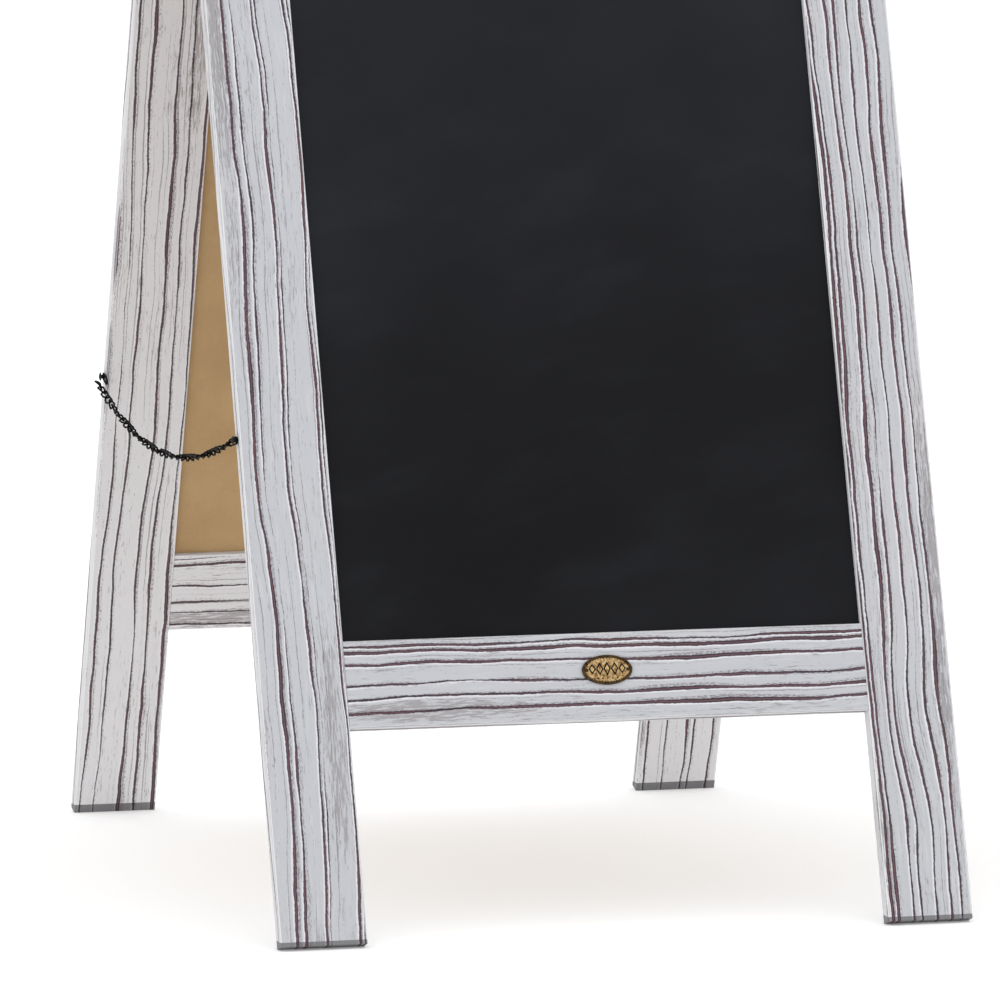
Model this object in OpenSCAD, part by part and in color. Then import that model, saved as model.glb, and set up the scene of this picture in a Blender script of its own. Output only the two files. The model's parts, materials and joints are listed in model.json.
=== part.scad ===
// Folding menu easel: two wooden frames, each with a chalkboard, hinged along the top and
// kept from spreading by a chain on the left flank.
// Millimetres. The origin is on the floor under the middle; +Z is up and the front faces -Y.

/* [Frames] */
// Width over the stiles
frame_w = 508; // [440:1:600]
// Length of a stile, along the stile
frame_l = 1000; // [900:1:1150]
// Thickness of the wood
wood_t = 12; // [11.5:0.5:16]
// Width of each stile and rail
member_w = 63; // [55:0.5:75]
// Bottom rail's lower edge above the leg end, along the leg
leg_below = 154; // [120:1:220]
// Lean of each frame from upright, in degrees
lean = 19.2; // [15:0.1:22]
// Radius on the long edges of the wood
edge_r = 0.8; // [0.4:0.1:1.2]
// Height of the dipped end of a leg
foot_h = 6.3; // [5:0.1:12]

/* [Boards] */
// Thickness of the hardboard backing
backing_t = 3; // [2.5:0.1:3.2]
// Thickness of the coated writing sheet
sheet_t = 0.5; // [0.3:0.1:0.6]
// Wood left in front of the board's groove
front_lip = 3.8; // [3:0.1:4.5]
// Depth of the groove that holds the board
groove_d = 6; // [4:0.5:8]

/* [Dowels] */
// Radius of a joint dowel
dowel_r = 3; // [2.5:0.25:3.5]
// Length of a joint dowel
dowel_l = 36; // [24:1:44]
// Distance of each dowel from the rail's centre line
dowel_offset = 16; // [12:1:19]

/* [Hinges] */
// Length of a hinge
hinge_l = 38; // [32:1:60]
// Distance of each hinge from the middle
hinge_x = 130; // [80:5:150]
// Radius of the hinge knuckle
knuckle_r = 2.5; // [2.2:0.1:2.6]
// Radius of the hinge pin
pin_r = 1.2; // [1:0.1:1.3]
// Width of a hinge leaf from the pin
leaf_w = 11.5; // [10:0.5:12]
// Thickness of a hinge leaf
leaf_t = 1.2; // [1:0.1:1.4]

/* [Badge] */
// Length of the oval badge
badge_w = 37; // [30:1:45]
// Height of the oval badge
badge_h = 21.5; // [18:0.5:24]
// Badge's centre above the rail's centre line
badge_up = 4; // [0:0.5:6]

/* [Chain] */
// Height of the chain screws above the leg end, along the leg
chain_up = 366; // [300:1:450]
// Steepening from one link to the next, which sets the sag
chain_curve = 0.0145; // [0.012:0.0005:0.02]
// Wire diameter of a link
wire_d = 1.4; // [1.3:0.1:1.6]
// Inner width of a link
link_in_w = 3.3; // [3.3:0.1:4]
// Radius of a chain screw's head
head_r = 3.8; // [3.4:0.1:4]

/* [Hidden] */
$fn = 48;
eps = 0.01;
big = 2000;

// Frames, in a panel's own axes: X across, -Y outward, Z up the panel, origin on the hinge pin.
fold_gap = 1.5;                       // between the two frames when shut
face_in = fold_gap / 2;               // inner face of the wood from the hinge plane
face_out = face_in + wood_t;
mid_t = face_in + wood_t / 2;
pin_drop = knuckle_r + 0.3;           // top edge of the wood below the pin
leg_end = pin_drop + frame_l;
foot_flat = 0.5;                      // sharp corner taken off the leg end, so that it stands flat
pin_z = leg_end * cos(lean) - face_in * sin(lean) - foot_flat;
inner_w = frame_w - 2 * member_w;
stile_x = (frame_w - member_w) / 2;
top_rail_z = -pin_drop - member_w / 2;
bottom_rail_z = -leg_end + leg_below + member_w / 2;

// Boards
groove_w = 3.8;
board_slack = 0.5;                    // room at each edge, in the bottom of the groove
board_w = inner_w + 2 * (groove_d - board_slack);
board_top = top_rail_z - member_w / 2 + groove_d - board_slack;
board_foot = bottom_rail_z + member_w / 2 - groove_d + board_slack;
sheet_out = face_out - front_lip;
sheet_in = sheet_out - sheet_t;

// Hinges
knuckles = 5;
knuckle_gap = 0.3;
knuckle_l = hinge_l / knuckles;
pin_fit = 0.05;                       // running clearance, per side
pin_head_t = 0.8;
hinge_screw_x = hinge_l / 2 - 7;
hinge_screw_r = 1.1;
hinge_screw_l = 13;
hinge_head_r = 2.3;

// Badge: an oval plate with a raised rim
badge_t = 1.2;
rim_t = 1.8;
rim_w = 1.8;
badge_nail_x = badge_w / 2 - 3.4;
badge_nail_r = 0.6;

// Chain, on the left flank: each link hangs from the one before it, and the slope grows by equal steps
links = 41;
low_link = 20;                        // the link at the bottom of the loop
link_play = 0.3;
link_lap = 0.02;                      // the straights run this far into the bends, both ends together
anchor_drop = leg_end - chain_up;
anchor_y = anchor_drop * sin(lean) + mid_t * cos(lean);
anchor_z = pin_z - anchor_drop * cos(lean) + mid_t * sin(lean);
function slope(k) = atan(chain_curve * (k - low_link));
function total(list, i = 0) = i >= len(list) ? 0 : list[i] + total(list, i + 1);
pitch = 2 * anchor_y / total([for (k = [0:links - 1]) cos(slope(k))]);
link_in_l = pitch + link_play;
link_bend_r = (link_in_w + wire_d) / 2;
wire_reach = (wire_d + link_play) / 2; // from a joint to the wire centre that passes through it
shank_r = 1.5;
ring_x = 0.2 + wire_d / 2;            // end rings lie this far off the side of the leg
ring_back = shank_r + 0.1 + wire_d / 2;
head_under = 3.4;                     // the first ring tilts out under the head
head_t = 1.2;
screw_l = 20;
half_link = link_bend_r + wire_d / 2;
chain_x_front = half_link + 0.35;     // the chain starts close to the leg
chain_x_back = head_under + head_t + 0.35 + half_link; // and ends clear of the back screw head
turn = 180 * 12 / (low_link - 1);     // twist from one link to the next
function twist(k) = k < low_link ? k * turn : k == low_link ? 90 : (k - low_link - 1) * turn;
function joint_y(k) = -anchor_y + pitch * total([for (i = [0:1:k - 1]) cos(slope(i))]);
function joint_z(k) = anchor_z + pitch * total([for (i = [0:1:k - 1]) sin(slope(i))]);
function joint_x(k) =
    frame_w / 2 + chain_x_front + (chain_x_back - chain_x_front) * min(k / low_link, 1);

// Each run of links that moves as one: first link, one past the last link
RUNS = [[0, 7], [7, 14], [14, 20], [20, 21], [21, 27], [27, 34], [34, 40], [40, 41]];

// ---- places ----

module on_front() {
    translate([0, 0, pin_z]) rotate([-lean, 0, 0]) children();
}

module on_back() {
    mirror([0, 1, 0]) on_front() children();
}

module both_sides() {
    for (side = [0, 1]) mirror([side, 0, 0]) children();
}

// ---- wood ----

// A plank's section: long and short sides, with the corners eased
module eased_section(w, t) {
    square([w - 2 * edge_r, t], center = true);
    square([w, t - 2 * edge_r], center = true);
    for (x = [-1, 1], y = [-1, 1])
        translate([x * (w / 2 - edge_r), y * (t / 2 - edge_r)]) circle(edge_r);
}

// The right-hand stile before its joints are cut, down to the square end of the leg
module stile_blank() {
    translate([stile_x, -mid_t, -leg_end]) linear_extrude(frame_l)
        eased_section(member_w, wood_t);
}

module groove() {
    translate([-board_w / 2 - board_slack, -sheet_out, board_foot - board_slack])
        cube([board_w + 2 * board_slack, groove_w, board_top - board_foot + 2 * board_slack]);
}

module dowel_rows() {
    for (z = [top_rail_z, bottom_rail_z], step = [-1, 1])
        translate([inner_w / 2, -mid_t, z + step * dowel_offset])
            rotate([0, 90, 0]) cylinder(r = dowel_r, h = dowel_l, center = true);
}

module chain_pilot() {
    translate([frame_w / 2 + eps, -mid_t, -anchor_drop])
        rotate([0, -90, 0]) cylinder(r = shank_r, h = screw_l - head_under);
}

// Keeps what is above the height z from the floor
module above(z) {
    intersection() {
        children();
        translate([0, 0, z + big / 2]) cube(big, center = true);
    }
}

// The right-hand stile; the left-hand one is its mirror image with the chain screw's hole
module right_stile(chained = false) {
    color([0.83, 0.83, 0.84]) above(foot_h) on_front() difference() {
        stile_blank();
        groove();
        dowel_rows();
        if (chained) chain_pilot();
    }
}

module right_foot() {
    color([0.40, 0.40, 0.40]) intersection() {
        on_front() stile_blank();
        translate([0, 0, foot_h / 2]) cube([big, big, foot_h], center = true);
    }
}

module rail(z) {
    translate([-inner_w / 2, -mid_t, z]) rotate([0, 90, 0]) linear_extrude(inner_w)
        rotate(90) eased_section(wood_t, member_w);
}

module hinge_pilots() {
    for (x = [-hinge_screw_x, hinge_screw_x])
        translate([hinge_x + x, -mid_t, -pin_drop - hinge_screw_l + leaf_t])
            cylinder(r = hinge_screw_r, h = hinge_screw_l);
}

module top_rail() {
    color([0.83, 0.83, 0.84]) on_front() difference() {
        rail(top_rail_z);
        groove();
        both_sides() dowel_rows();
        both_sides() hinge_pilots();
    }
}

module bottom_rail(nails) {
    color([0.83, 0.83, 0.84]) on_front() difference() {
        rail(bottom_rail_z);
        groove();
        both_sides() dowel_rows();
        if (nails) badge_nail_shanks();
    }
}

module dowels() {
    color([0.80, 0.68, 0.50]) on_front() both_sides() dowel_rows();
}

// ---- boards ----

module board_slab(y_out, t) {
    translate([-board_w / 2, -y_out, board_foot]) cube([board_w, t, board_top - board_foot]);
}

module board_sheet() {
    color([0.13, 0.13, 0.14]) on_front() board_slab(sheet_out, sheet_t);
}

module board_backing() {
    color([0.63, 0.51, 0.36]) on_front() board_slab(sheet_in, backing_t);
}

// ---- badge ----

// An ellipse, drawn by its formula
module oval(w, h) {
    polygon([for (a = [0:5:355]) [w / 2 * cos(a), h / 2 * sin(a)]]);
}

// Turns a drawing to stand on the bottom rail's face, drawn outwards
module on_rail_face() {
    translate([0, -face_out, bottom_rail_z + badge_up]) rotate([90, 0, 0]) children();
}

module badge_nail_shanks() {
    on_rail_face() for (side = [-1, 1])
        translate([side * badge_nail_x, 0, -7]) cylinder(r = badge_nail_r, h = 7 + badge_t);
}

module badge_plate() {
    color([0.60, 0.48, 0.26]) on_front() difference() {
        on_rail_face() union() {
            linear_extrude(badge_t) oval(badge_w, badge_h);
            linear_extrude(rim_t) difference() {
                oval(badge_w, badge_h);
                oval(badge_w - 2 * rim_w, badge_h - 2 * rim_w);
            }
        }
        badge_nail_shanks();
    }
}

module badge_nails() {
    color([0.60, 0.48, 0.26]) on_front() {
        badge_nail_shanks();
        on_rail_face() for (side = [-1, 1])
            translate([side * badge_nail_x, 0, badge_t]) cylinder(r1 = 1.3, r2 = 0.8, h = 0.6);
    }
}

// ---- hinges ----

module along_x(r, from, to) {
    translate([from, 0, 0]) rotate([0, 90, 0]) cylinder(r = r, h = to - from);
}

module countersunk_screw(r, l) {
    cylinder(r = r, h = l);
    translate([0, 0, l - leaf_t]) cylinder(r1 = r, r2 = hinge_head_r, h = leaf_t);
}

// A leaf with the knuckles numbered from first, every second one, and a bore of radius bore_r
module hinge_leaf(first, bore_r) {
    color([0.14, 0.14, 0.14]) difference() {
        union() {
            translate([-hinge_l / 2, -leaf_w, -pin_drop]) cube([hinge_l, leaf_w - 0.5, leaf_t]);
            along_x(knuckle_r, -hinge_l / 2, hinge_l / 2);
        }
        for (k = [1 - first:2:knuckles - 1]) along_x(
            knuckle_r + 0.4,
            k == 0 ? -hinge_l : -hinge_l / 2 + k * knuckle_l - knuckle_gap / 2,
            k == knuckles - 1 ? hinge_l : -hinge_l / 2 + (k + 1) * knuckle_l + knuckle_gap / 2
        );
        along_x(bore_r, -hinge_l, hinge_l);
        for (x = [-hinge_screw_x, hinge_screw_x])
            translate([x, -mid_t, -pin_drop - hinge_screw_l + leaf_t])
                countersunk_screw(hinge_screw_r + 0.05, hinge_screw_l + eps);
    }
}

module hinge_pin() {
    color([0.45, 0.45, 0.45]) {
        along_x(pin_r, -hinge_l / 2, hinge_l / 2);
        for (end = [-hinge_l / 2 - pin_head_t, hinge_l / 2])
            along_x(pin_r + 0.6, end, end + pin_head_t);
    }
}

module hinge_screws() {
    color([0.14, 0.14, 0.14]) both_sides() for (x = [-hinge_screw_x, hinge_screw_x])
        translate([hinge_x + x, -mid_t, -pin_drop - hinge_screw_l + leaf_t]) difference() {
            countersunk_screw(hinge_screw_r, hinge_screw_l);
            for (a = [0, 90]) rotate(a)
                translate([0, 0, hinge_screw_l]) cube([2.6, 0.5, 1.2], center = true);
        }
}

module hinge_place(side) {
    translate([side * hinge_x, 0, 0]) children();
}

// ---- chain ----

module chain_screw() {
    color([0.10, 0.10, 0.11]) on_front() left()
        translate([frame_w / 2, -mid_t, -anchor_drop]) rotate([0, 90, 0]) difference() {
            union() {
                translate([0, 0, head_under - screw_l]) cylinder(r = shank_r, h = screw_l);
                translate([0, 0, head_under]) intersection() {
                    cylinder(r = head_r, h = head_t);
                    translate([0, 0, head_t - 5]) sphere(5);
                }
            }
            for (a = [0, 90]) rotate(a)
                translate([0, 0, head_under + head_t]) cube([3.4, 0.7, 1.4], center = true);
        }
}

// A link of round wire lying in the Y-Z plane, its length along Y, from wire centre to wire centre
module link(reach) {
    straight = reach - 2 * link_bend_r;
    for (end = [0, 180]) rotate([end, 0, 0])
        translate([0, straight / 2, 0]) rotate([0, 90, 0])
            rotate_extrude(angle = 180) translate([link_bend_r, 0]) circle(d = wire_d, $fn = 24);
    for (side = [-1, 1]) translate([0, 0, side * link_bend_r])
        rotate([90, 0, 0]) cylinder(d = wire_d, h = straight + link_lap, center = true, $fn = 24);
}

// A link whose end wires are centred on the points a and b, turned by spin about its length
module link_between(a, b, spin) {
    run = b - a;
    flat = norm([run[1], run[2]]);
    translate((a + b) / 2) rotate([atan2(run[2], run[1]), 0, 0])
        rotate([0, 0, -atan2(run[0], flat)]) rotate([0, spin, 0]) link(norm(run));
}

// The point where joint k is, moved along the chain by d
function chain_point(k, d, along) = [
    joint_x(k),
    joint_y(k) + d * cos(slope(along)),
    joint_z(k) + d * sin(slope(along))
];

function ring_point(k, d, along) = [
    frame_w / 2 + ring_x,
    joint_y(k) + d * cos(slope(along)),
    joint_z(k) + d * sin(slope(along))
];

module chain_run(run) {
    color([0.08, 0.08, 0.09]) for (k = [run[0]:run[1] - 1]) {
        if (k == 0)
            link_between(ring_point(0, -ring_back, 0), chain_point(1, wire_reach, 0), 0);
        else if (k == links - 1)
            link_between(ring_point(k, -wire_reach, k), ring_point(links, ring_back, k), 0);
        else
            link_between(chain_point(k, -wire_reach, k), chain_point(k + 1, wire_reach, k), twist(k));
    }
}

module left() {
    mirror([1, 0, 0]) children();
}

// ---- one line per piece ----

left() right_stile(chained = true);  // front_left_stile
right_stile();  // front_right_stile
top_rail();  // front_top_rail
bottom_rail(true);  // front_bottom_rail
board_sheet();  // front_board_sheet
board_backing();  // front_board_backing
dowels();  // front_dowels
left() right_foot();  // front_left_foot
right_foot();  // front_right_foot
mirror([0, 1, 0]) left() right_stile(chained = true);  // back_left_stile
mirror([0, 1, 0]) right_stile();  // back_right_stile
mirror([0, 1, 0]) top_rail();  // back_top_rail
mirror([0, 1, 0]) bottom_rail(false);  // back_bottom_rail
mirror([0, 1, 0]) board_sheet();  // back_board_sheet
mirror([0, 1, 0]) board_backing();  // back_board_backing
mirror([0, 1, 0]) dowels();  // back_dowels
mirror([0, 1, 0]) left() right_foot();  // back_left_foot
mirror([0, 1, 0]) right_foot();  // back_right_foot
badge_plate();
badge_nails();
on_front() hinge_place(-1) hinge_leaf(0, pin_r);  // left_hinge_front_leaf
on_back() hinge_place(-1) hinge_leaf(1, pin_r + pin_fit);  // left_hinge_back_leaf
on_front() hinge_place(-1) hinge_pin();  // left_hinge_pin
on_front() hinge_place(1) hinge_leaf(0, pin_r);  // right_hinge_front_leaf
on_back() hinge_place(1) hinge_leaf(1, pin_r + pin_fit);  // right_hinge_back_leaf
on_front() hinge_place(1) hinge_pin();  // right_hinge_pin
on_front() hinge_screws();  // front_hinge_screws
on_back() hinge_screws();  // back_hinge_screws
chain_screw();  // front_chain_screw
mirror([0, 1, 0]) chain_screw();  // back_chain_screw
left() chain_run(RUNS[0]);  // left_chain_front_top
left() chain_run(RUNS[1]);  // left_chain_front_middle
left() chain_run(RUNS[2]);  // left_chain_front_low
left() chain_run(RUNS[3]);  // left_chain_low_link
left() chain_run(RUNS[4]);  // left_chain_back_low
left() chain_run(RUNS[5]);  // left_chain_back_middle
left() chain_run(RUNS[6]);  // left_chain_back_top
left() chain_run(RUNS[7]);  // left_chain_end_ring
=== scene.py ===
"""Finishes and small hardware for a folding menu easel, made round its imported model. Metres.

Each wooden frame is a panel that leans on the hinge pin. A plank has its own axes: u across it,
w through it and v along it, in millimetres, with the middle of its width at u = 0.
"""

import json
import math

import bmesh
import bpy
from mathutils import Matrix, Vector


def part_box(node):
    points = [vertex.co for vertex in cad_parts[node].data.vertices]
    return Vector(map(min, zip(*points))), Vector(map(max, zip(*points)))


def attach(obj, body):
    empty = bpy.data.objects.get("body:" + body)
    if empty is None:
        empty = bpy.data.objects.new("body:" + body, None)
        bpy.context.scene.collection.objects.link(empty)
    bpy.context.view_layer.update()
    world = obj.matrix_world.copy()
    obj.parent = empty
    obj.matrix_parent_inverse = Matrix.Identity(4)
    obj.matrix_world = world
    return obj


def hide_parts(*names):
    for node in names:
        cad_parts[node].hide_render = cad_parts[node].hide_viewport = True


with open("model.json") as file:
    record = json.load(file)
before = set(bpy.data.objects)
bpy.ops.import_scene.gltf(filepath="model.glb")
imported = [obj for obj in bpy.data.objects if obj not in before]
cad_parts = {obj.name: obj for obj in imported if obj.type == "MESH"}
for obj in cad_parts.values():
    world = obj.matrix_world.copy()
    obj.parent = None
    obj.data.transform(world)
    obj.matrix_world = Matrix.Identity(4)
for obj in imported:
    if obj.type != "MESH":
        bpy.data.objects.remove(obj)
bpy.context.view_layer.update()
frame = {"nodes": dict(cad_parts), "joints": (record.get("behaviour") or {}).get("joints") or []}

MM = 0.001
UP = Vector((0, 0, 1))
JOINTS = {joint["name"]: joint for joint in frame["joints"]}
PIN = Vector(JOINTS["fold"]["pos_m"])
LEAN = math.radians(-JOINTS["fold"]["range_deg"][0]) / 2
HALF_PLANK = 31.5                # half the width of a stile or rail, in millimetres
FLANK = -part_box("front_left_stile")[0].x    # from the middle to the chain's side of the legs


# ---- camera, floor and light ----

CAMERA_AZIMUTH = math.radians(-14.7547)
CAMERA_ELEVATION = math.radians(6.9127)
CAMERA_DISTANCE = 7.619895
CAMERA_LENS = 372.95             # in millimetres, on a sensor 36 mm wide
TARGET_HEIGHT = 0.3              # the camera looks at this height over the easel's middle,
TARGET_RIGHT = -0.0047654        # moved by these two in the picture's plane
TARGET_ABOVE = -0.0283843


def make_camera():
    back = Vector((
        math.sin(CAMERA_AZIMUTH) * math.cos(CAMERA_ELEVATION),
        -math.cos(CAMERA_AZIMUTH) * math.cos(CAMERA_ELEVATION),
        math.sin(CAMERA_ELEVATION),
    ))
    right = (-back).cross(UP).normalized()
    above = right.cross(-back)
    target = TARGET_HEIGHT * UP + TARGET_RIGHT * right + TARGET_ABOVE * above
    bpy.ops.object.camera_add(location=target + CAMERA_DISTANCE * back)
    camera = bpy.context.object
    camera.name = "camera"
    camera.rotation_euler = (-back).to_track_quat("-Z", "Y").to_euler()
    camera.data.sensor_width = 36
    camera.data.lens = CAMERA_LENS
    camera.data.clip_end = 200
    bpy.context.scene.camera = camera


def make_studio():
    """A white room with one broad, soft light from the front and the left."""
    world = bpy.data.worlds.new("studio")
    world.use_nodes = True
    sky = world.node_tree.nodes["Background"]
    sky.inputs["Color"].default_value = (0.985, 0.992, 1.0, 1)
    sky.inputs["Strength"].default_value = 1.10
    bpy.context.scene.world = world
    facing = Vector((-0.62, -0.5, 0.75)).to_track_quat("Z", "Y").to_euler()
    bpy.ops.object.light_add(type="SUN", rotation=facing)
    light = bpy.context.object
    light.name = "broad_light"
    light.data.energy = 0.2
    light.data.angle = math.radians(55)
    bpy.context.scene.view_settings.view_transform = "Standard"
    bpy.context.scene.view_settings.look = "None"


def make_floor():
    bpy.ops.mesh.primitive_plane_add(size=80)
    floor = bpy.context.object
    floor.name = "floor"
    finish = Finish("pale_floor")
    shade = finish.noise(finish.object_place(), 0.6, detail=2)
    tint = finish.blend(shade, (0.955, 0.955, 0.955, 1), (0.975, 0.975, 0.975, 1))
    glow = {"Emission_Color": (1, 1, 1, 1), "Emission_Strength": 0.14}
    floor.data.materials.append(finish.paint(base=tint, roughness=0.9, **glow))


# ---- materials: sums on sockets ----

def colour(red, green, blue):
    """A colour given in the usual 0 to 255 steps, as the renderer's linear values."""
    def linear(step):
        share = step / 255
        return share / 12.92 if share <= 0.04045 else ((share + 0.055) / 1.055) ** 2.4
    return linear(red), linear(green), linear(blue), 1


class Value:
    """A number that varies over a surface. Sums on it add Math nodes."""

    def __init__(self, finish, socket):
        self.finish = finish
        self.socket = socket

    def math(self, operation, *others):
        values = dict(enumerate((self, *others)))
        return self.finish.node("ShaderNodeMath", {"operation": operation}, values)

    def __add__(self, other):
        return self.math("ADD", other)

    def __sub__(self, other):
        return self.math("SUBTRACT", other)

    def __mul__(self, other):
        return self.math("MULTIPLY", other)

    def __truediv__(self, other):
        return self.math("DIVIDE", other)

    def __pow__(self, other):
        return self.math("POWER", other)

    def __rsub__(self, other):
        return self.finish.node("ShaderNodeMath", {"operation": "SUBTRACT"}, {0: other, 1: self})

    __radd__ = __add__
    __rmul__ = __mul__

    def size(self):
        return self.math("ABSOLUTE")

    def most(self, other):
        return self.math("MAXIMUM", other)

    def ramp(self, low, high):
        """0 below low and 1 above high, with a smooth rise between; low may be the larger."""
        sockets = {"Value": self, "From Min": low, "From Max": high}
        settings = {"interpolation_type": "SMOOTHSTEP"}
        return self.finish.node("ShaderNodeMapRange", settings, sockets)


class Finish:
    """One procedural material."""

    def __init__(self, name):
        self.material = bpy.data.materials.new(name)
        self.material.use_nodes = True
        self.nodes = self.material.node_tree.nodes
        self.links = self.material.node_tree.links
        self.shader = self.nodes["Principled BSDF"]

    def feed(self, socket, value):
        if isinstance(value, Value):
            self.links.new(value.socket, socket)
        else:
            socket.default_value = value

    def node(self, kind, settings=None, sockets=None, output=0):
        made = self.nodes.new(kind)
        for name, value in (settings or {}).items():
            setattr(made, name, value)
        for name, value in (sockets or {}).items():
            self.feed(made.inputs[name], value)
        return Value(self, made.outputs[output])

    def object_place(self):
        return self.node("ShaderNodeTexCoord", output="Object")

    def object_normal(self):
        return self.node("ShaderNodeTexCoord", output="Normal")

    def vector(self, x, y, z):
        return self.node("ShaderNodeCombineXYZ", None, {"X": x, "Y": y, "Z": z})

    def parts(self, vector):
        split = self.node("ShaderNodeSeparateXYZ", None, {0: vector}).socket.node
        return [Value(self, output) for output in split.outputs]

    def noise(self, vector, scale=1.0, detail=2.0, roughness=0.5):
        sockets = {"Vector": vector, "Scale": scale, "Detail": detail, "Roughness": roughness}
        return self.node("ShaderNodeTexNoise", None, sockets, "Fac")

    def blend(self, share, first, second):
        """first where share is 0, second where it is 1, for colours."""
        made = self.nodes.new("ShaderNodeMix")
        made.data_type = "RGBA"
        colours = [socket for socket in made.inputs if socket.type == "RGBA"]
        self.feed(made.inputs["Factor"], share)
        self.feed(colours[0], first)
        self.feed(colours[1], second)
        return Value(self, next(socket for socket in made.outputs if socket.type == "RGBA"))

    def paint(self, base, roughness=0.6, metallic=0.0, relief=None, depth=0.2, **constants):
        """Wires the shader. relief is a height from 0 to 1, and depth its size in millimetres."""
        self.feed(self.shader.inputs["Base Color"], base)
        self.feed(self.shader.inputs["Roughness"], roughness)
        self.feed(self.shader.inputs["Metallic"], metallic)
        for name, value in constants.items():
            self.shader.inputs[name.replace("_", " ")].default_value = value
        if relief is not None:
            sockets = {"Height": relief, "Distance": depth * MM, "Strength": 1.0}
            bump = self.node("ShaderNodeBump", None, sockets)
            self.links.new(bump.socket, self.shader.inputs["Normal"])
        return self.material


# ---- whitewashed wood ----

WASH_COOL = colour(186, 187, 191)
WASH_WARM = colour(194, 190, 191)
WASH_THICK = colour(204, 204, 207)
WASH_PAINTED_FILL_LIGHT = colour(218, 217, 219)    # painted light: the back frame's inner faces, which lie in shade, made lighter
WASH_PAINTED_SIDE_LIGHT = colour(207, 207, 209)     # painted light: the narrow sides of a plank, made lighter as if lit from the side
WASH_PAINTED_ARRIS_HIGHLIGHT = colour(236, 236, 236)    # painted highlight along the corners of its wide faces
WASH_PAINTED_HALO = colour(232, 229, 233)      # painted highlight: a pale halo beside a grain line
BARE_STREAK = colour(132, 124, 124)
BARE_DASH = colour(118, 110, 114)
BARE_FRAY = colour(112, 97, 102)
GRAIN_THIN = colour(108, 98, 106)
GRAIN_LINE = colour(44, 31, 41)
GRAIN_CORE = colour(122, 84, 90)
# the feet's dark grey, and a lighter grey on their narrow sides as painted light
FOOT_GREY = colour(122, 122, 124)
FOOT_GREY_PAINTED_SIDE_LIGHT = colour(136, 136, 137)


def plank_turn(panel, way):
    """Turns the row's axes to a plank's own: across, through and along."""
    lean = LEAN if panel == "front" else -LEAN
    upright = Matrix.Rotation(lean, 3, "X")
    return upright if way == "stile" else Matrix.Rotation(math.radians(90), 3, "Y") @ upright


def panel_box(node, turn):
    """A node's lowest and highest corners in the turned axes, from the pin, in metres."""
    placed = [turn @ (v.co - PIN) for v in frame["nodes"][node].data.vertices]
    low = Vector([min(v[axis] for v in placed) for axis in range(3)])
    high = Vector([max(v[axis] for v in placed) for axis in range(3)])
    return low, high


def plank_axes(finish, node, panel, way):
    """u, w and v in millimetres, and the surface's direction along each of them."""
    turn = plank_turn(panel, way)
    low, high = panel_box(node, turn)
    shift = -(turn @ PIN) / MM - Vector(((low.x + high.x) / 2 / MM, 0, 0))
    angles = turn.to_euler("XYZ")
    place = finish.node(
        "ShaderNodeMapping", {"vector_type": "POINT"},
        {"Vector": finish.object_place(), "Location": shift, "Rotation": angles, "Scale": (1 / MM,) * 3},
    )
    facing = finish.node(
        "ShaderNodeMapping", {"vector_type": "VECTOR"},
        {"Vector": finish.object_normal(), "Rotation": angles},
    )
    return finish.parts(place), finish.parts(facing)


def nearest_line(finish, across, spacing, spread):
    """(distance to the nearest of a row of uneven lines, signed, and that line's own number)."""
    sockets = {"W": across, "Scale": 1 / spacing, "Randomness": spread}
    line = finish.node("ShaderNodeTexVoronoi", {"voronoi_dimensions": "1D"}, sockets, "W")
    number = Value(finish, line.socket.node.outputs["Color"])
    return across - line, finish.parts(number)[0]


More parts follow.
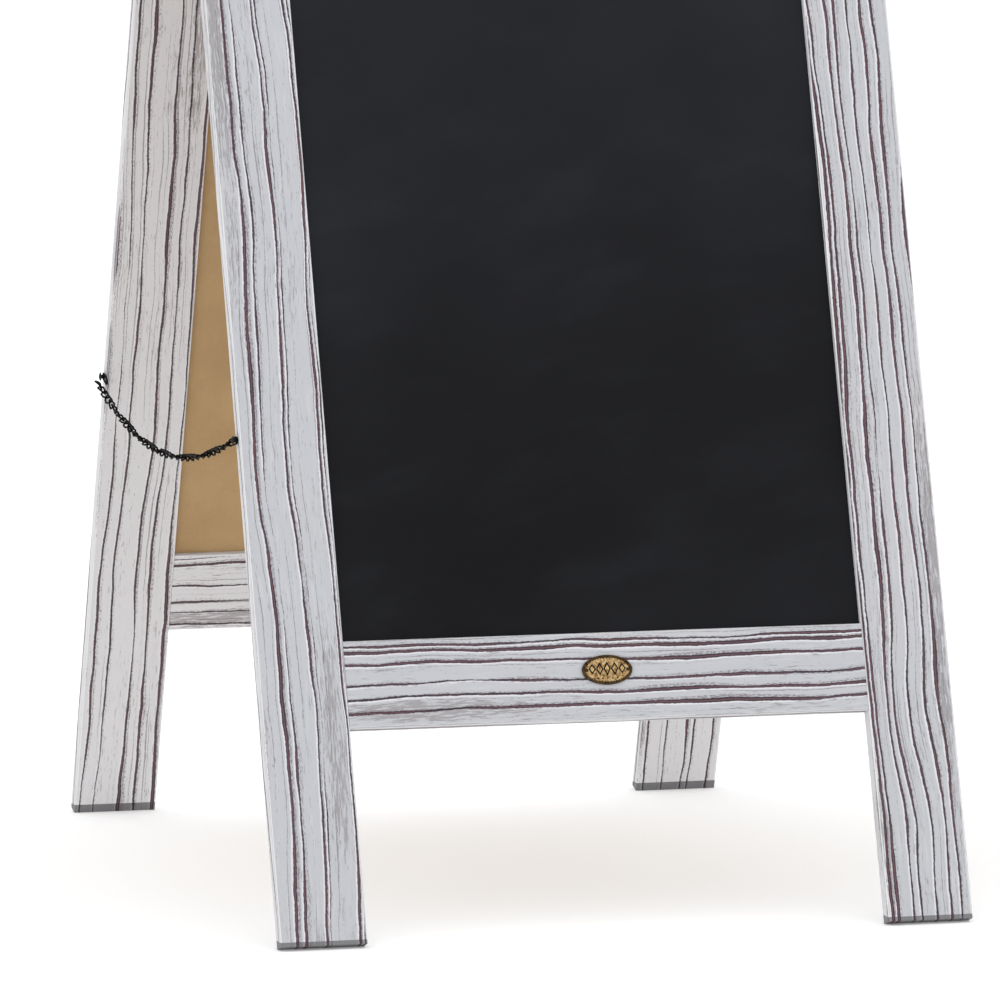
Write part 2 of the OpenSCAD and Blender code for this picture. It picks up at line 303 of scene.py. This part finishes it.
def whitewashed_wood(name, node, panel, way, seed, spacing, wander, warmth, weight, worn, grey_foot=False):
    """Wood brushed along the grain, washed white, with the dark grain left in the grooves."""
    finish = Finish(name)
    (u, w, v), (facing_u, facing_w, _) = plank_axes(finish, node, panel, way)
    edge = facing_u.size().ramp(0.25, 0.8)
    far = v + seed * 731.0

    # The grain drifts slowly across the plank, with small kinks
    drift = finish.noise(finish.vector(u * 0.011, seed * 5.3, far * 0.0045), detail=1.0) - 0.5
    sway = finish.noise(finish.vector(u * 0.035, seed * 2.1, far * 0.014), detail=1.0) - 0.5
    kink = finish.noise(finish.vector(u * 0.12, seed * 1.7, far * 0.09), detail=2.0) - 0.5
    across = u + w * 0.6 * edge + drift * (5.5 * wander) + sway * 6.0 + kink * 1.3 + seed * 211.0
    tear = finish.noise(finish.vector(u * 1.3, w * 1.3, far * 0.5), detail=3.0, roughness=0.65)

    # Main lines: each has its own width, which swells and fades along the plank
    gap, number = nearest_line(finish, across, spacing, 0.9)
    swell = finish.noise(finish.vector(number * 40.0, seed * 3.7, far * 0.011), detail=2.5)
    width = number * number * 0.6 + (swell - 0.45) * 2.6 + weight
    line = (gap.size() + (tear - 0.5) * 1.2).ramp(width + 0.3, width - 0.12)
    core = gap.size().ramp(0.6, 0.1) * width.ramp(0.55, 0.95)

    # One side of a line is frayed into small flecks; the pale rim on the other is a painted highlight
    fray_width = 0.8 + (swell - 0.42) * 9.0 + number * 1.2
    beside = gap.ramp(0.0, 0.35) * gap.ramp(fray_width + 0.5, fray_width - 0.5)
    fleck = finish.noise(finish.vector(across * 1.5, w * 1.4, far * 0.42), detail=3.0, roughness=0.7)
    fray = beside * (fleck + (number - 0.5) * 0.12).ramp(0.5, 0.6)
    rim = (gap + width).ramp(-1.7, -0.7) * (gap + width).ramp(0.1, -0.3) * width.ramp(0.0, 0.3)

    # Hair lines come and go between them
    thin_gap, thin_number = nearest_line(finish, across + 57.0, spacing * 0.37, 1.0)
    patch = finish.noise(finish.vector(u * 0.06, seed * 7.9, far * 0.009), detail=1.5)
    thin_width = (patch - 0.54) * 1.5 + (thin_number - 0.5) * 0.4
    thin = (thin_gap.size() + (tear - 0.5) * 1.1).ramp(thin_width + 0.2, thin_width - 0.1)

    # Dry-brushed streaks where the paint is worn, and short dashes all over
    hairs = finish.noise(finish.vector(across * 0.9, w * 1.0, far * 0.085), detail=4.0, roughness=0.7)
    bare = None
    for worn_across, worn_along, worn_width, worn_length in worn:
        place_u = ((u - worn_across) / worn_width) ** 2.0
        place_v = ((v - worn_along) / worn_length) ** 2.0
        one = (place_u + place_v).ramp(1.3, 0.0)
        bare = one if bare is None else bare.most(one)
    patchy = finish.noise(finish.vector(u * 0.07, seed * 4.3, far * 0.012), detail=2.0)
    streak = (hairs + bare * 0.17 + (patchy - 0.5) * 0.28).ramp(0.6, 0.69)
    dash = finish.noise(finish.vector(across * 0.8, w * 0.8, far * 0.2), detail=2.0).ramp(0.7, 0.75)

    # Paint
    tone = finish.noise(finish.vector(u * 0.03, w * 0.05, far * 0.007), detail=2.0)
    base = finish.blend((tone + warmth - 0.5).ramp(0.3, 0.7), WASH_COOL, WASH_WARM)
    cloud = finish.noise(finish.vector(u * 0.35, w * 0.4, far * 0.03), detail=3.0)
    base = finish.blend(cloud.ramp(0.5, 0.75) * 0.4, base, WASH_THICK)
    # Painted light: the back frame's inner faces lie in shade, so they are painted lighter
    if panel == "back":
        painted_fill_light = facing_w.ramp(-0.3, -0.9)
        base = finish.blend(painted_fill_light * 0.9, base, WASH_PAINTED_FILL_LIGHT)
    # Painted highlight: a white line along the corners of the wide faces
    arris_highlight = u.size().ramp(HALF_PLANK - 1.5, HALF_PLANK - 0.6) * (1 - edge)
    arris_highlight = arris_highlight * (0.85 if way == "stile" else 0.3)
    # Painted light: the narrow sides of a plank are painted lighter, and the marks are kept off them
    base = finish.blend(edge, base, WASH_PAINTED_SIDE_LIGHT)
    base = finish.blend(arris_highlight, base, WASH_PAINTED_ARRIS_HIGHLIGHT)
    face = 1 - (edge * 0.35).most(arris_highlight * 0.9)
    # The feet are dark grey with the grain running on, and their narrow sides a lighter grey as painted
    # light
    if grey_foot:
        base = finish.blend(edge * 0.3, FOOT_GREY, FOOT_GREY_PAINTED_SIDE_LIGHT)
        rim = rim * 0.15
    # Painted highlight: the pale rim beside each line
    base = finish.blend(rim * face * 0.66, base, WASH_PAINTED_HALO)
    base = finish.blend(streak * face * 0.6, base, BARE_STREAK)
    base = finish.blend(dash * face * 0.5, base, BARE_DASH)
    base = finish.blend(fray * face * 0.7, base, BARE_FRAY)
    base = finish.blend(thin * face * 0.6, base, GRAIN_THIN)
    base = finish.blend(line * face * 0.93, base, GRAIN_LINE)
    base = finish.blend(core * line * face * 0.75, base, GRAIN_CORE)
    groove = (line * 0.9).most(thin * 0.45).most(streak * 0.3).most(fray * 0.45) * face
    fibre = finish.noise(finish.vector(across * 2.2, w * 2.2, far * 0.12), detail=3.0)
    relief = 1 - groove + fibre * 0.18
    roughness = 0.64 + groove * 0.2
    return finish.paint(base, roughness, relief=relief, depth=0.3, Specular_IOR_Level=0.18)


# Each plank: its panel, which way it runs, a number for its pattern, the spacing of its lines,
# how far they wander, its warmth, how heavy its lines are, and where it is most worn, as patches of
# (across, along, width, length)
PLANKS = {
    "front_left_stile": (
        "front", "stile", 1, 12.0, 4.0, 0.25, 0.14, [(-25, -360, 9, 190), (20, -860, 9, 90)],
    ),
    "front_right_stile": (
        "front", "stile", 2, 9.0, 4.5, 0.3, 0.5, [(27, -760, 7, 190), (-27, -930, 6, 90)],
    ),
    "front_top_rail": ("front", "rail", 3, 13.0, 1.0, 0.3, 0.2, [(-14, 90, 12, 90)]),
    "front_bottom_rail": ("front", "rail", 4, 11.0, 1.0, 0.3, 0.42, [(-20, 130, 9, 90)]),
    "back_left_stile": ("back", "stile", 5, 12.5, 3.6, 0.5, 0.26, [(20, -330, 8, 150)]),
    "back_right_stile": ("back", "stile", 6, 12.0, 4.0, 0.4, 0.26, [(-18, -500, 9, 200)]),
    "back_top_rail": ("back", "rail", 7, 13.0, 1.0, 0.4, 0.2, [(12, -60, 9, 80)]),
    "back_bottom_rail": ("back", "rail", 8, 13.0, 1.0, 0.4, 0.26, [(-22, 150, 8, 120)]),
}


def coat(node, material):
    for place in frame["nodes"][node].material_slots:
        place.material = material


def finish_wood():
    for node, plank in PLANKS.items():
        coat(node, whitewashed_wood(f"whitewashed_{node}", node, *plank))
        if node.endswith("stile"):
            foot = node.replace("stile", "foot")
            coat(foot, whitewashed_wood(f"dipped_{foot}", node, *plank, grey_foot=True))


# ---- boards, dowels and hardware ----

def dowel_wood():
    finish = Finish("dowel_beech")
    place = finish.object_place()
    u, w, v = finish.parts(place)
    fleck = finish.noise(finish.vector(u * 90, w * 1600, v * 1600), detail=3.0)
    base = finish.blend(fleck.ramp(0.3, 0.7), colour(214, 184, 142), colour(178, 142, 98))
    return finish.paint(base, 0.7, relief=fleck, depth=0.05)


def chalk_coat():
    """A black writing coat, wiped many times, with a little chalk left in it, and lighter towards the
    top.
    """
    finish = Finish("chalk_coat")
    place = finish.object_place()
    x, y, z = finish.parts(place)
    cloud = finish.noise(place, 4.0, detail=3.0, roughness=0.55)
    wipe = finish.noise(finish.vector(x * 7 + z * 3, y * 5, z * 22 - x * 6), detail=4.0, roughness=0.6)
    tooth = finish.noise(place, 2600.0, detail=2.0)
    # chalk clouds and wipes, and a lighter tone towards the top of the board
    chalk_and_lighter_top = cloud.ramp(0.38, 0.75) * 0.4 + wipe.ramp(0.45, 0.8) * 0.3 + z.ramp(0.25, 0.75) * 0.6
    base = finish.blend(chalk_and_lighter_top, colour(18, 18, 21), colour(37, 38, 42))
    roughness = 0.52 + wipe * 0.14 + tooth * 0.06
    return finish.paint(base, roughness, relief=tooth, depth=0.02, Specular_IOR_Level=0.09)


def hardboard():
    """Pressed board, brown, with faint pressed fibres."""
    finish = Finish("hardboard")
    place = finish.object_place()
    cloud = finish.noise(place, 26.0, detail=4.0, roughness=0.6)
    fibre = finish.noise(place, 900.0, detail=3.0, roughness=0.7)
    base = finish.blend(cloud.ramp(0.3, 0.7), colour(172, 142, 101), colour(181, 151, 109))
    base = finish.blend(fibre.ramp(0.56, 0.72) * 0.4, base, colour(142, 112, 76))
    base = finish.blend(fibre.ramp(0.42, 0.3) * 0.3, base, colour(200, 172, 130))
    return finish.paint(base, 0.72, relief=fibre, depth=0.06, Specular_IOR_Level=0.3)


def black_metal(name, shine, rub, gloss=0.16):
    """Black paint on steel, rubbed through in small spots."""
    finish = Finish(name)
    place = finish.object_place()
    spots = finish.noise(place, 700.0, detail=3.0, roughness=0.6)
    film = finish.noise(place, 2200.0, detail=2.0)
    bare = spots.ramp(0.66, 0.72) * rub
    base = finish.blend(spots, colour(7, 7, 8), colour(17, 16, 17))
    base = finish.blend(bare, base, colour(70, 68, 66))
    roughness = shine + film * 0.18
    return finish.paint(base, roughness, bare * 0.8, relief=film, depth=0.02, Specular_IOR_Level=gloss)


def drawn_steel():
    finish = Finish("drawn_steel")
    x, y, z = finish.parts(finish.object_place())
    drawn = finish.noise(finish.vector(x * 60, y * 2400, z * 2400), detail=3.0)
    base = finish.blend(drawn, colour(150, 150, 153), colour(196, 196, 198))
    return finish.paint(base, 0.28 + drawn * 0.2, 1.0, relief=drawn, depth=0.01)


def antique_brass(name, high, low):
    """Brass with dark wax left in its hollows; high and low are its two colours."""
    finish = Finish(name)
    place = finish.object_place()
    wax = finish.noise(place, 420.0, detail=4.0, roughness=0.65)
    hammer = finish.noise(place, 900.0, detail=1.0)
    base = finish.blend(wax.ramp(0.34, 0.62), low, high)
    roughness = 0.30 + wax * 0.25
    return finish.paint(base, roughness, 0.9, relief=hammer, depth=0.10)


def finish_hardware():
    board, backing, dowels = chalk_coat(), hardboard(), dowel_wood()
    hinge = black_metal("hinge_black", 0.38, 0.5)
    screw = black_metal("screw_black", 0.42, 0.35)
    steel = drawn_steel()
    brass = antique_brass("badge_brass", colour(208, 178, 128), colour(118, 86, 48))
    for panel in ("front", "back"):
        coat(f"{panel}_board_sheet", board)
        coat(f"{panel}_board_backing", backing)
        coat(f"{panel}_dowels", dowels)
        coat(f"{panel}_hinge_screws", screw)
        coat(f"{panel}_chain_screw", screw)
    for side in ("left", "right"):
        coat(f"{side}_hinge_front_leaf", hinge)
        coat(f"{side}_hinge_back_leaf", hinge)
        coat(f"{side}_hinge_pin", steel)
    coat("badge_plate", brass)
    aged = antique_brass("badge_rim_aged", colour(86, 66, 40), colour(30, 22, 14))
    coat("badge_nails", aged)
    make_badge(brass, aged, black_metal("badge_wax", 0.6, 0.0, gloss=0.05))


# ---- modelling helpers ----

def start(name):
    """Names the primitive that was just added, puts its place in its mesh, and opens it for editing."""
    bpy.ops.object.transform_apply(location=True, rotation=False, scale=False)
    made = bpy.context.object
    made.name = name
    bpy.ops.object.mode_set(mode="EDIT")
    return made


def choose(made, faces):
    """Selects the faces that pass a test, in edit mode."""
    bpy.ops.mesh.select_mode(type="FACE")
    bpy.ops.mesh.select_all(action="DESELECT")
    mesh = bmesh.from_edit_mesh(made.data)
    for face in mesh.faces:
        face.select_set(faces(face))
    bmesh.update_edit_mesh(made.data)


def close(made):
    """Makes the shell's normals point out, and leaves edit mode."""
    bpy.ops.mesh.select_all(action="SELECT")
    bpy.ops.mesh.normals_make_consistent(inside=False)
    bpy.ops.object.mode_set(mode="OBJECT")
    return made


def alone(made):
    bpy.ops.object.select_all(action="DESELECT")
    made.select_set(True)
    bpy.context.view_layer.objects.active = made


def copy_to(pattern, matrix):
    """A copy of a modelled shape with its own mesh, put in place by its mesh."""
    made = pattern.copy()
    made.data = pattern.data.copy()
    made.data.transform(matrix)
    if matrix.determinant() < 0:
        made.data.flip_normals()
    bpy.context.collection.objects.link(made)
    return made


def join(name, parts):
    bpy.ops.object.select_all(action="DESELECT")
    for part in parts:
        part.select_set(True)
    bpy.context.view_layer.objects.active = parts[0]
    bpy.ops.object.join()
    made = bpy.context.object
    made.name = made.data.name = name
    return made


# ---- badge ----

RIM_WIDTH = 1.5 * MM
RIM_ROUND = 0.35 * MM
FIELD_DROP = 0.6 * MM            # the field is this far below the rim
LOZENGES = 5
LOZENGE_GAP = 5.5 * MM
LOZENGE_HIGH = 5.0 * MM          # half its height, at the middle one
LOZENGE_WIDE = 2.6 * MM
LOZENGE_BORDER = 0.85 * MM
LOZENGE_THICK = 0.5 * MM
LOZENGE_SUNK = 0.3 * MM          # its middle lies this far below its border
LOZENGE_UP = 0.8 * MM            # the row of diamonds stands this far above the badge's middle
BEADS = 48
BEAD_ROUND = 0.42 * MM
BEAD_INSET = 0.75 * MM           # from the rim's inner edge to the middle of a bead
DOTS = 5
DOT_GAP = 3.6 * MM
DOT_ROUND = 0.6 * MM
DOT_DOWN = 6.0 * MM              # and the row of dots this far below it


def make_plate(wide, high, thick, brass, aged):
    """An oval plate with its back at z = 0, a rounded rim and a sunk field."""
    bpy.ops.mesh.primitive_cylinder_add(vertices=96, radius=1, depth=thick, location=(0, 0, thick / 2))
    plate = start("badge_plate_pressed")
    bpy.ops.mesh.select_all(action="SELECT")
    bpy.ops.transform.resize(value=(wide / 2, high / 2, 1))
    choose(plate, lambda face: face.normal.z > 0.9)
    bpy.ops.mesh.inset(thickness=RIM_WIDTH)
    bpy.ops.mesh.inset(thickness=FIELD_DROP * 0.6)
    bpy.ops.transform.translate(value=(0, 0, -FIELD_DROP))
    close(plate)
    plate.data.materials.append(brass)
    plate.data.materials.append(aged)
    for face in plate.data.polygons:
        in_field = face.normal.z > 0.95 and face.center.z < thick - FIELD_DROP / 2
        face.material_index = 0 if in_field else 1
    alone(plate)
    ease = plate.modifiers.new("ease", "BEVEL")
    ease.width, ease.segments, ease.angle_limit = RIM_ROUND, 3, math.radians(40)
    bpy.ops.object.modifier_apply(modifier=ease.name)
    return plate


def make_lozenge(brass, wax):
    """An upright diamond in dark wax, round a bright sunk middle."""
    bpy.ops.mesh.primitive_cylinder_add(
        vertices=4, radius=1, depth=LOZENGE_THICK, location=(0, 0, LOZENGE_THICK / 2),
    )
    lozenge = start("lozenge")
    bpy.ops.mesh.select_all(action="SELECT")
    bpy.ops.transform.resize(value=(LOZENGE_WIDE, LOZENGE_HIGH, 1))
    choose(lozenge, lambda face: face.normal.z > 0.9)
    bpy.ops.mesh.inset(thickness=LOZENGE_BORDER)
    bpy.ops.transform.translate(value=(0, 0, -LOZENGE_SUNK))
    close(lozenge)
    lozenge.data.materials.append(brass)
    lozenge.data.materials.append(wax)
    for face in lozenge.data.polygons:
        sunk = face.normal.z > 0.9 and face.center.xy.length < 0.2 * MM
        face.material_index = 0 if sunk else 1
    return lozenge


def make_bead(name, radius, material):
    """A low bead with a flattened foot."""
    bpy.ops.mesh.primitive_uv_sphere_add(segments=8, ring_count=6, radius=radius)
    bead = start(name)
    choose(bead, lambda face: face.calc_center_median().z < 0)
    bpy.ops.transform.resize(value=(1, 1, 0.2), center_override=(0, 0, 0))
    close(bead)
    bead.data.materials.append(material)
    return bead


def make_badge(brass, aged, wax):
    """The oval badge on the front bottom rail, with a plain pattern of diamonds."""
    bpy.ops.object.select_all(action="DESELECT")
    turn = plank_turn("front", "stile")
    low, high = panel_box("badge_plate", turn)
    wide, tall, thick = high.x - low.x, high.z - low.z, high.y - low.y
    field = thick - FIELD_DROP
    parts = [make_plate(wide, tall, thick, brass, aged)]
    lozenge = make_lozenge(brass, wax)
    for k in range(LOZENGES):
        aside = (k - (LOZENGES - 1) / 2) * LOZENGE_GAP
        share = math.sqrt(1 - (aside / (wide / 2 - RIM_WIDTH)) ** 2)
        place = Matrix.Translation((aside, LOZENGE_UP, field))
        parts.append(copy_to(lozenge, place @ Matrix.Diagonal((1, share, 1, 1))))
    bead = make_bead("rim_bead", BEAD_ROUND, aged)
    reach_x = wide / 2 - RIM_WIDTH - BEAD_INSET
    reach_y = tall / 2 - RIM_WIDTH - BEAD_INSET
    for k in range(BEADS):
        around = 2 * math.pi * k / BEADS
        place = (reach_x * math.cos(around), reach_y * math.sin(around), field)
        parts.append(copy_to(bead, Matrix.Translation(place)))
    dot = make_bead("dot", DOT_ROUND, wax)
    for k in range(DOTS):
        place = ((k - (DOTS - 1) / 2) * DOT_GAP, -DOT_DOWN, field)
        parts.append(copy_to(dot, Matrix.Translation(place)))
    for pattern in (lozenge, bead, dot):
        bpy.data.objects.remove(pattern)
    badge = join("oval_badge", parts)
    panel_axes = Matrix(((1, 0, 0), (0, 0, -1), (0, 1, 0))).to_4x4()
    middle = Vector(((low.x + high.x) / 2, high.y, (low.z + high.z) / 2))
    stand = turn.inverted().to_4x4() @ Matrix.Translation(middle) @ panel_axes
    badge.data.transform(Matrix.Translation(PIN) @ stand)
    alone(badge)
    bpy.ops.object.shade_smooth_by_angle(angle=math.radians(35))
    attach(badge, "front_frame")
    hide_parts("badge_plate")


# ---- chain ----

LINKS = 41
LOW_LINK = 20
CHAIN_CURVE = 0.0145             # how the slope grows from link to link
WIRE = 1.4 * MM
BEND = 2.35 * MM                 # radius of a link's end, to the middle of its wire
REACH = 0.85 * MM                # from a joint to the middle of the wire through it
CURB_TWIST = math.radians(50)    # a curb link is twisted by this much from end to end
LINK_TURN = math.radians(-28.9)  # and the whole chain turns by this much at each link
CHAIN_START_OUT = 3.4 * MM       # the chain's middle off the leg's side, at the front
RING_OUT = 0.9 * MM              # the end rings lie this far off the leg's side
RING_BACK = 2.3 * MM
RUNS = {
    "front_top": (0, 7), "front_middle": (7, 14), "front_low": (14, 20), "low_link": (20, 21),
    "back_low": (21, 27), "back_middle": (27, 34), "back_top": (34, 40), "end_ring": (40, 41),
}


def slope(k):
    return math.atan(CHAIN_CURVE * (k - LOW_LINK))


def along(k):
    return Vector((0, math.cos(slope(k)), math.sin(slope(k))))


def chain_joints():
    """The points where the links meet, from front to back, with the flank taken as +X."""
    first = Vector(JOINTS["left_chain_front_top_swing"]["pos_m"])
    pitch = -2 * first.y / sum(math.cos(slope(k)) for k in range(LINKS))
    low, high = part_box("left_chain_low_link")
    end_x = -(low.x + high.x) / 2
    start_x = FLANK + CHAIN_START_OUT
    points = [Vector((start_x, first.y, first.z))]
    for k in range(LINKS):
        step = points[-1] + pitch * along(k)
        step.x = start_x + (end_x - start_x) * min((k + 1) / LOW_LINK, 1)
        points.append(step)
    return points


def model_link(name, reach, twist):
    """A link of round wire along Y, twisted from end to end; reach is between its end wires."""
    straight = reach - 2 * BEND
    bpy.ops.mesh.primitive_torus_add(
        major_radius=BEND, minor_radius=WIRE / 2, major_segments=24, minor_segments=10,
    )
    made = start(name)
    for end in (-1, 1):
        choose(made, lambda face: face.calc_center_median().y * end > 0)
        bpy.ops.transform.translate(value=(0, end * straight / 2, 0))
    close(made)
    alone(made)
    if twist:
        bend = made.modifiers.new("curb", "SIMPLE_DEFORM")
        bend.deform_method = "TWIST"
        bend.deform_axis = "Y"
        bend.angle = twist
        bpy.ops.object.modifier_apply(modifier=bend.name)
    bpy.ops.object.shade_smooth()
    return made


def link_matrix(start_point, end_point, turn):
    """Puts a link between two wire centres. At turn 0 it lies flat to the side of the leg."""
    run = (end_point - start_point).normalized()
    out = Vector((1, 0, 0))
    flat = (out - out.dot(run) * run).normalized()
    wide = flat.cross(run)
    placed = Matrix((wide, run, -flat)).transposed().to_4x4()
    spin = Matrix.Rotation(turn, 4, run)
    return Matrix.Translation((start_point + end_point) / 2) @ spin @ placed


def link_turn(k):
    """The turn of a link's middle. Neighbours cross nearly square, and quite square at the low link."""
    if k in (0, LINKS - 1):
        return 0.0
    if k == LOW_LINK:
        return math.radians(90)
    side = 1 if k > LOW_LINK else -1
    return side * CURB_TWIST / 2 + LINK_TURN * (k - LOW_LINK - side)


def make_chain():
    points = chain_joints()
    pitch = (points[2] - points[1]).length
    curb = model_link("curb_link", pitch + 2 * REACH, CURB_TWIST)
    plain = model_link("plain_link", pitch + 2 * REACH, 0)
    ring = model_link("end_link", pitch + REACH + RING_BACK, 0)
    mirror = Matrix.Diagonal((-1, 1, 1, 1))
    black = black_metal("chain_black", 0.5, 0.1, gloss=0.04)
    for run, (first, last) in RUNS.items():
        placed = []
        for k in range(first, last):
            begin = points[k] - REACH * along(k)
            end = points[k + 1] + REACH * along(k)
            pattern = plain if k == LOW_LINK else curb
            if k == 0:
                begin = points[0] - RING_BACK * along(0)
                begin.x = FLANK + RING_OUT
                pattern = ring
            if k == LINKS - 1:
                begin.x = FLANK + RING_OUT
                end = points[LINKS] + RING_BACK * along(k)
                end.x = FLANK + RING_OUT
                pattern = ring
            placed.append(copy_to(pattern, mirror @ link_matrix(begin, end, link_turn(k))))
        piece = join(f"left_links_{run}", placed)
        piece.data.materials.clear()
        piece.data.materials.append(black)
        node = f"left_chain_{run}"
        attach(piece, node)
        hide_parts(node)
    for pattern in (curb, plain, ring):
        bpy.data.objects.remove(pattern)


# ---- the easel ----

make_camera()
make_studio()
make_floor()
finish_wood()
finish_hardware()
bpy.ops.object.select_all(action="DESELECT")
make_chain()
